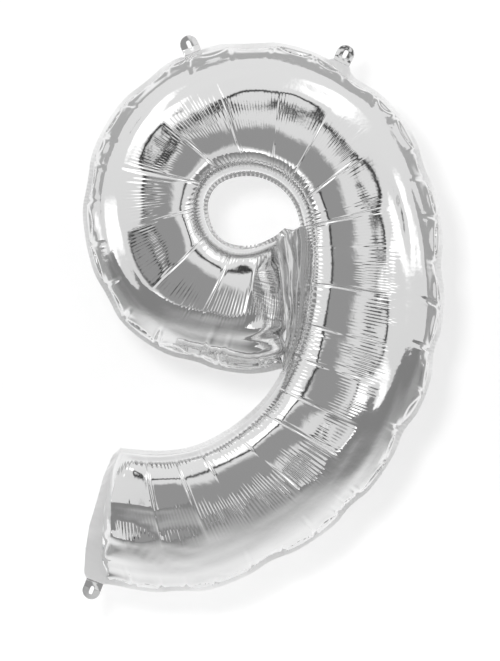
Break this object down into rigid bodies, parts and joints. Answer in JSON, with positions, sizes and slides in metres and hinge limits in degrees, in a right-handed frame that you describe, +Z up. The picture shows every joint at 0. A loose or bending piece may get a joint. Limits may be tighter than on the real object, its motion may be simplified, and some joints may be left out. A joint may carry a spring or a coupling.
{
  "type": "foil number balloon",
  "caption": "Inflated silver foil balloon in the shape of the digit nine, with folding hanging tabs and a flat self-sealing valve.",
  "frame": {"origin": "middle of the whole balloon's bounding box, tabs included, in the plane of the seal", "axes": "+Z up along the upright digit, +X to its right seen from the front, -Y out of its front face"},
  "size_m": [0.5608, 0.1714, 0.876],
  "materials": {
    "foil_front": "mirror-bright metallised film, crimped along the seams",
    "foil_back": "mirror-bright metallised film, crimped along the seams",
    "tab_foil": "two fused layers of metallised film",
    "valve_film": "thin clear film"
  },
  "bodies": {
    "balloon": {"front_foil_panel": "foil_front", "back_foil_panel": "foil_back", "valve_front_film": "valve_film", "valve_back_film": "valve_film"},
    "tab_top_left_flap": {"tab_top_left": "tab_foil"},
    "tab_top_right_flap": {"tab_top_right": "tab_foil"},
    "tab_bottom_left_flap": {"tab_bottom_left": "tab_foil"}
  },
  "joints": [
    {"name": "tab_top_left_fold", "type": "hinge", "parent": "balloon", "child": "tab_top_left_flap", "pos_m": [-0.10891, 0, 0.40985], "axis": [-0.9205, 0, -0.3907], "range_deg": [-80, 80], "stiffness_Nm_per_rad": 0.0006},
    {"name": "tab_top_right_fold", "type": "hinge", "parent": "balloon", "child": "tab_top_right_flap", "pos_m": [0.12109, 0, 0.39535], "axis": [-0.8988, 0, 0.4384], "range_deg": [-80, 80], "stiffness_Nm_per_rad": 0.0006},
    {"name": "tab_bottom_left_fold", "type": "hinge", "parent": "balloon", "child": "tab_bottom_left_flap", "pos_m": [-0.26091, 0, -0.40965], "axis": [0.9336, 0, -0.3584], "range_deg": [-80, 80], "stiffness_Nm_per_rad": 0.0006}
  ]
}
